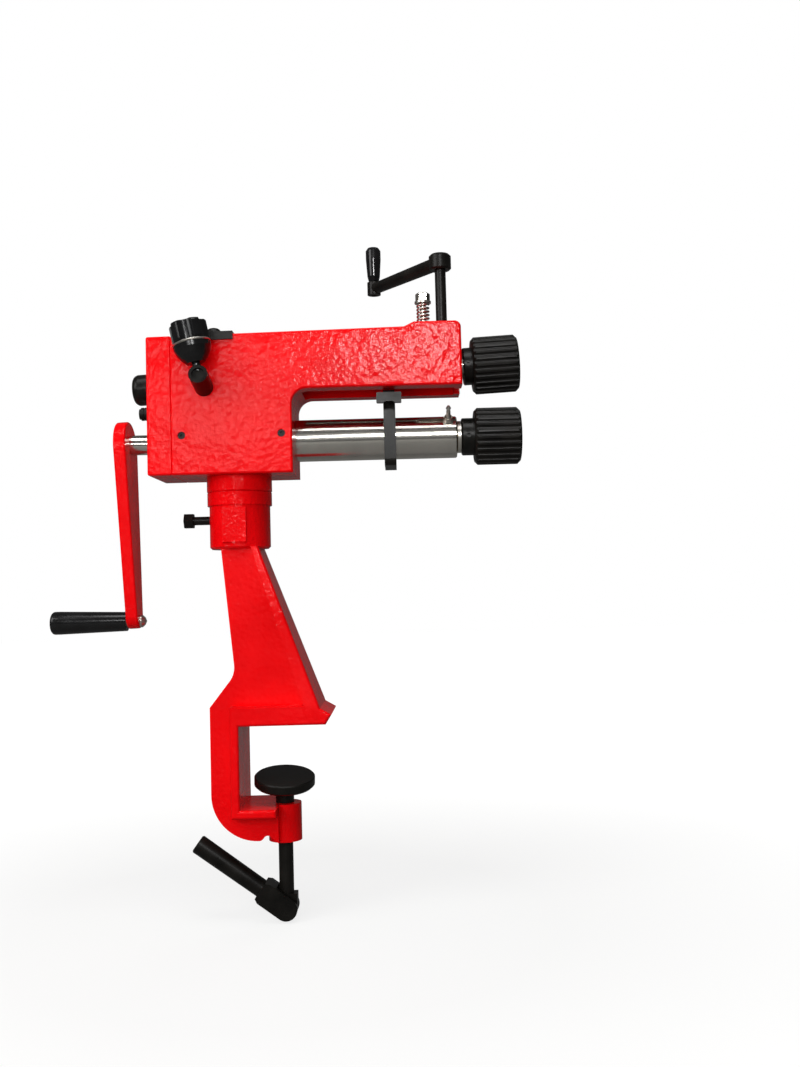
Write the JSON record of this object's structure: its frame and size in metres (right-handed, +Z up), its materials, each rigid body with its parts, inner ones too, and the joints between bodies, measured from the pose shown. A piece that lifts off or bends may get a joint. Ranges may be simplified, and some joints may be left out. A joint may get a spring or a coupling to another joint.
{
  "type": "bead roller",
  "caption": "Hand cranked bead roller on a C-clamp stand: geared pair of fluted rolls, pressure screw with crank, sliding work stop and swivelling head.",
  "frame": {"origin": "on the underside of the clamp jaw, on the axis of the clamp screw", "axes": "+X towards the rolls along the shafts, +Y away from the operator's face of the head, +Z up"},
  "size_m": [0.4428, 0.172, 0.6502],
  "materials": {
    "red_enamel": "glossy enamel over a rough iron casting",
    "polished_steel": "polished",
    "machined_steel": "machined",
    "bearing_bronze": "turned",
    "black_steel": "black oxide, lightly oiled",
    "black_plastic": "moulded, glossy"
  },
  "bodies": {
    "stand": {"stand_casting": "red_enamel"},
    "lock_bolt": {"swivel_lock_bolt": "black_steel"},
    "head": {"head_casting": "red_enamel", "rear_cover": "red_enamel", "cover_screws": "black_steel", "bearing_grub_screws": "machined_steel", "lower_tube": "polished_steel", "grease_nipple": "polished_steel", "lower_rear_bush": "bearing_bronze", "lower_front_bush": "bearing_bronze", "return_spring": "polished_steel", "lock_post": "black_steel", "top_strap": "black_steel", "strap_screw": "black_steel", "oil_plug": "black_plastic"},
    "lower_drive": {"lower_shaft": "polished_steel", "lower_gear": "machined_steel", "lower_gear_key": "machined_steel", "lower_roll": "black_steel", "lower_roll_screw": "machined_steel", "lower_thrust_washer": "polished_steel", "crank_arm": "red_enamel", "crank_set_screw": "black_steel", "crank_pin": "polished_steel"},
    "grip": {"crank_grip": "black_plastic"},
    "bush_carrier": {"upper_rear_bush": "bearing_bronze", "upper_front_bush": "bearing_bronze"},
    "upper_drive": {"upper_shaft": "machined_steel", "upper_gear": "machined_steel", "upper_gear_key": "machined_steel", "upper_roll": "black_steel", "upper_roll_screw": "machined_steel", "upper_end_cap": "black_plastic"},
    "block": {"bearing_block": "machined_steel", "spring_bolt": "polished_steel", "spring_washer": "polished_steel"},
    "feed": {"feed_screw": "black_steel", "feed_crank_arm": "black_steel", "feed_grip_pin": "polished_steel"},
    "small_grip": {"feed_grip": "black_plastic"},
    "stop": {"work_stop": "black_steel"},
    "stop_screw": {"wing_screw": "black_steel"},
    "knob": {"lock_knob": "black_plastic", "knob_ring": "polished_steel"},
    "clamp_cup": {"clamp_pad_cup": "black_steel"},
    "clamp_pad": {"clamp_pad": "black_steel"},
    "clamp_screw": {"clamp_screw": "black_steel", "clamp_handle_pin": "black_steel"},
    "handle": {"clamp_handle": "black_steel"}
  },
  "joints": [
    {"name": "head_swivel", "type": "hinge", "parent": "stand", "child": "head", "pos_m": [-0.0365, 0, 0.2133], "axis": [0, 0, 1], "continuous": true},
    {"name": "lock_bolt_turn", "type": "hinge", "parent": "stand", "child": "lock_bolt", "pos_m": [-0.08, 0, 0.1882], "axis": [-1, 0, 0], "range_deg": [0, 180]},
    {"name": "crank_turn", "type": "hinge", "parent": "head", "child": "lower_drive", "pos_m": [-0.1105, 0, 0.261], "axis": [1, 0, 0], "continuous": true},
    {"name": "crank_grip_spin", "type": "hinge", "parent": "lower_drive", "child": "grip", "pos_m": [-0.1765, 0, 0.096], "axis": [1, 0, 0], "continuous": true},
    {"name": "upper_tilt", "type": "hinge", "parent": "head", "child": "bush_carrier", "pos_m": [-0.0845, 0, 0.315], "axis": [0, 1, 0], "range_deg": [0, 2.73]},
    {"name": "upper_spin", "type": "hinge", "parent": "bush_carrier", "child": "upper_drive", "pos_m": [-0.0845, 0, 0.315], "axis": [0.9989, 0, 0.0475], "continuous": true},
    {"name": "block_slide", "type": "slide", "parent": "head", "child": "block", "axis": [0, 0, 1], "range_m": [-0.01117, 0], "deforming": ["return_spring"]},
    {"name": "feed_turn", "type": "hinge", "parent": "block", "child": "feed", "pos_m": [0.1575, 0, 0.4277], "axis": [0, 0, 1], "range_deg": [-2298, 0]},
    {"name": "feed_grip_spin", "type": "hinge", "parent": "feed", "child": "small_grip", "pos_m": [0.09287, 0.08703, 0.451], "axis": [0, 0, 1], "continuous": true},
    {"name": "stop_slide", "type": "slide", "parent": "head", "child": "stop", "axis": [1, 0, 0], "range_m": [-0.072, 0.028]},
    {"name": "stop_screw_turn", "type": "hinge", "parent": "stop", "child": "stop_screw", "pos_m": [0.1061, -0.04, 0.2928], "axis": [0, -1, 0], "range_deg": [0, 180]},
    {"name": "lock_knob_turn", "type": "hinge", "parent": "head", "child": "knob", "pos_m": [-0.0617, -0.06, 0.3125], "axis": [-0.2079, 0, 0.9781], "range_deg": [0, 180]},
    {"name": "clamp_slide", "type": "slide", "parent": "stand", "child": "clamp_cup", "axis": [0, 0, 1], "range_m": [0, 0.02]},
    {"name": "pad_tilt", "type": "hinge", "parent": "clamp_cup", "child": "clamp_pad", "pos_m": [0, 0, -0.0605], "axis": [0.9792, 0.2028, 0], "range_deg": [-24.6, 0]},
    {"name": "clamp_turn", "type": "hinge", "parent": "clamp_cup", "child": "clamp_screw", "pos_m": [0, 0, -0.1], "axis": [0, 0, 1], "range_deg": [0, 3600]},
    {"name": "handle_fold", "type": "hinge", "parent": "clamp_screw", "child": "handle", "pos_m": [0, 0, -0.17], "axis": [0, 1, 0], "range_deg": [-256, 4]}
  ],
  "couplings": [
    {"joint": "upper_spin", "follows": "crank_turn", "ratio": -1},
    {"joint": "feed_turn", "follows": "block_slide", "rad_per_m": 3590.4},
    {"joint": "upper_tilt", "follows": "block_slide", "rad_per_m": -4.2521},
    {"joint": "clamp_slide", "follows": "clamp_turn", "m_per_rad": 0.00031831}
  ]
}
